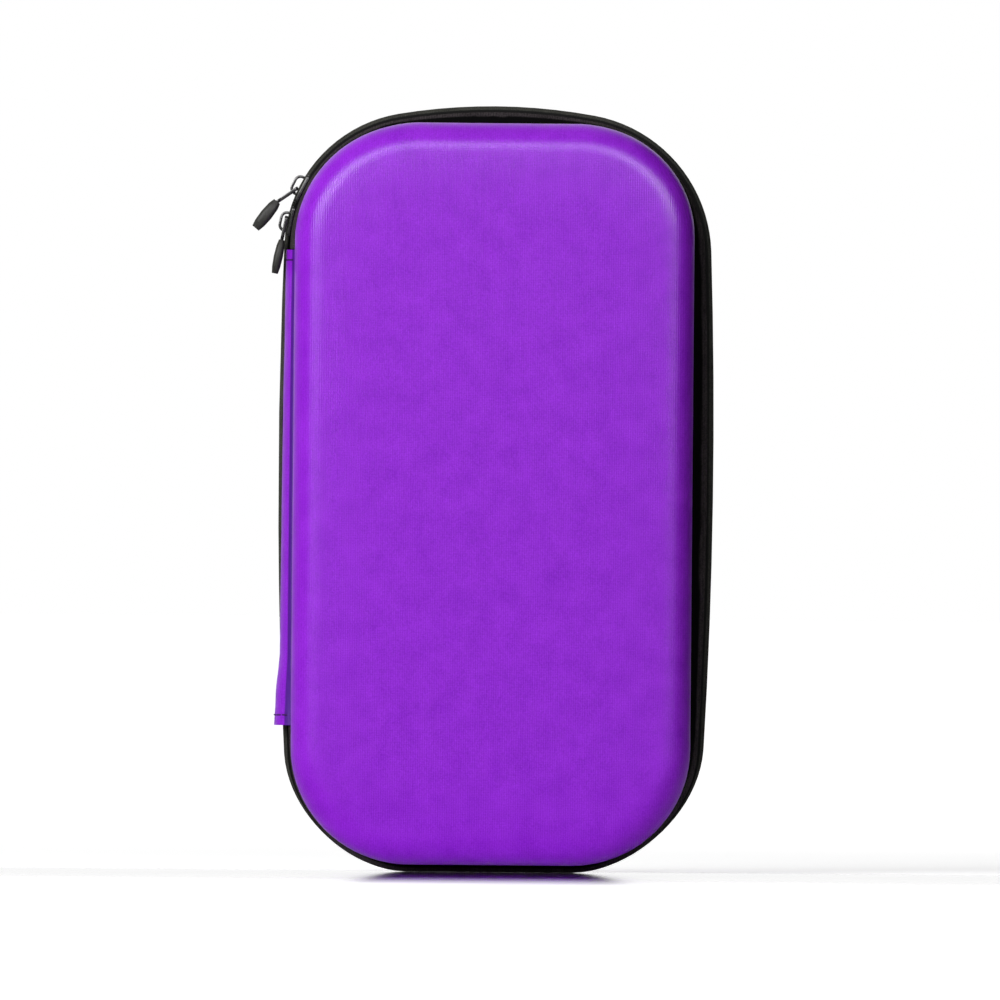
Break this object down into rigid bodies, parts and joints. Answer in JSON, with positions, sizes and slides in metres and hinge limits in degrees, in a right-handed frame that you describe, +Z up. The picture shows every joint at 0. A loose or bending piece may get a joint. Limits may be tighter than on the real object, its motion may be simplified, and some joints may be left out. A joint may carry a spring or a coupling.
{
  "type": "zip-round hard case",
  "caption": "Upright moulded hard case, two rounded shells joined by a wrap-round zipper and a fabric spine hinge.",
  "frame": {"origin": "middle of the short bottom end that the case stands on, on the base half's zipper edge", "axes": "+Z up along the case's length, +X across the front to the right, +Y from the lid to the base"},
  "size_m": [0.164, 0.054, 0.2687],
  "materials": {
    "knit": "fine knit over moulded foam",
    "lining": "brushed knit",
    "binding": "grosgrain",
    "tape": "woven zipper tape",
    "coil": "nylon coil",
    "piping": "rolled cloth",
    "spine": "fine knit strip",
    "net": "knotted net",
    "elastic": "woven elastic",
    "slider": "satin black",
    "grip": "moulded"
  },
  "bodies": {
    "base": {"base_shell": "knit", "base_lining": "lining", "base_inner_binding": "binding", "base_zipper_tape": "tape", "base_zipper_coil": "coil", "base_edge_piping": "piping", "spine_strip": "spine", "spine_hems": "spine", "hinge_lining": "lining", "hinge_end_tapes": "tape", "hinge_end_coils": "coil"},
    "lid": {"lid_shell": "knit", "lid_lining": "lining", "lid_inner_binding": "binding", "lid_zipper_tape": "tape", "lid_zipper_coil": "coil", "pocket_net": "net", "pocket_binding": "binding", "pocket_elastic": "elastic"},
    "slider_a": {"slider_a_body": "slider", "slider_a_bridge": "slider"},
    "slider_b": {"slider_b_body": "slider", "slider_b_bridge": "slider"},
    "puller_a": {"puller_a_link": "slider", "puller_a_grip": "grip"},
    "puller_b": {"puller_b_link": "slider", "puller_b_grip": "grip"}
  },
  "joints": [
    {"name": "lid_hinge", "type": "hinge", "parent": "base", "child": "lid", "pos_m": [-0.0805, 0, 0.134], "axis": [0, 0, -1], "range_deg": [0, 180]},
    {"name": "slider_a_travel", "type": "hinge", "parent": "base", "child": "slider_a", "pos_m": [-0.02582, -0.0009, 0.21849], "axis": [0, 1, 0], "range_deg": [0, 47]},
    {"name": "slider_b_travel", "type": "hinge", "parent": "base", "child": "slider_b", "pos_m": [-0.02582, -0.0009, 0.21849], "axis": [0, -1, 0], "range_deg": [0, 3.5]},
    {"name": "puller_a_swing", "type": "hinge", "parent": "slider_a", "child": "puller_a", "pos_m": [-0.06961, -0.0009, 0.23913], "axis": [0, 1, 0], "range_deg": [0, 140]},
    {"name": "puller_b_swing", "type": "hinge", "parent": "slider_b", "child": "puller_b", "pos_m": [-0.07308, -0.0009, 0.22895], "axis": [0, 1, 0], "range_deg": [0, 30]}
  ]
}
